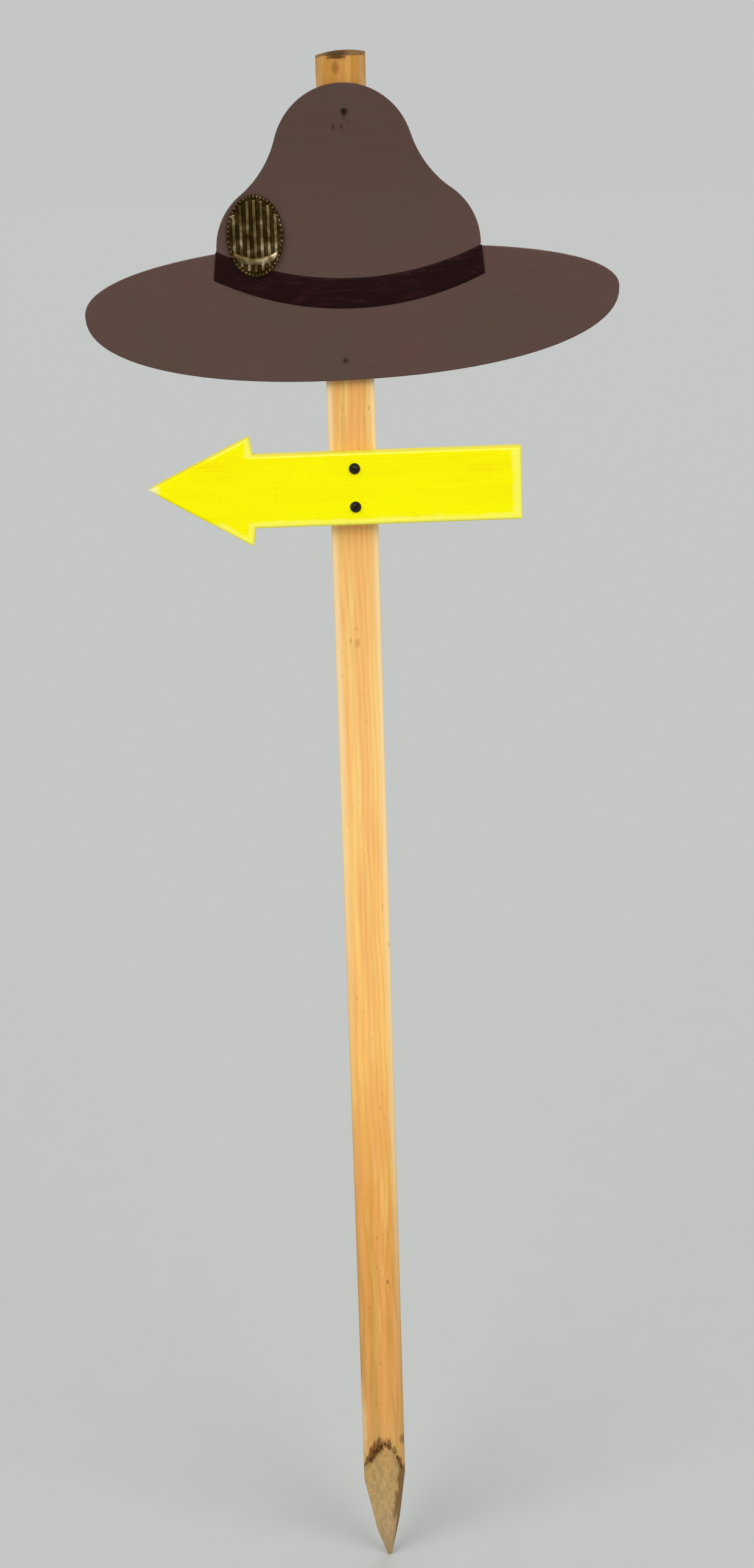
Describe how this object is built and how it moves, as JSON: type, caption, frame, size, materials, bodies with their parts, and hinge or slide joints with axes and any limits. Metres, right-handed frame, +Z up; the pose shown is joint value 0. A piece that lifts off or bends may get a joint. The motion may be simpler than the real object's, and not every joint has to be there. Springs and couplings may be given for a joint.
{
  "type": "direction sign",
  "caption": "Direction sign on a pointed timber stake: a flat board cut as a broad-brimmed hat, with band and badge, above a yellow arrow board that points left.",
  "frame": {"origin": "on the stake's middle line, at the level of its blunt tip", "axes": "+Z up along the stake, +X to the right as the painted faces are read, -Y out of the painted faces, +Y out of the stake's rear face"},
  "size_m": [0.4174, 0.0533, 1.355],
  "materials": {
    "stake_timber": "planed softwood, oiled honey colour, with earth stains round the hewn point",
    "hat_paint": "plywood under matt brown paint",
    "band_leathercloth": "near-black strip with a dull sheen",
    "badge_brass": "old brass, dark in the hollows and rubbed on the high spots",
    "nail_steel": "dark weathered steel",
    "arrow_paint": "board under bright yellow paint, brushed, thin on the rubbed edges",
    "screw_japan": "black japanned steel"
  },
  "bodies": {
    "root": {"stake": "stake_timber", "hat_board": "hat_paint", "hat_band": "band_leathercloth", "hat_badge": "badge_brass", "hat_nail_upper": "nail_steel", "hat_nail_lower": "nail_steel", "arrow_board": "arrow_paint", "arrow_screw_upper": "screw_japan", "arrow_screw_lower": "screw_japan"}
  },
  "joints": []
}
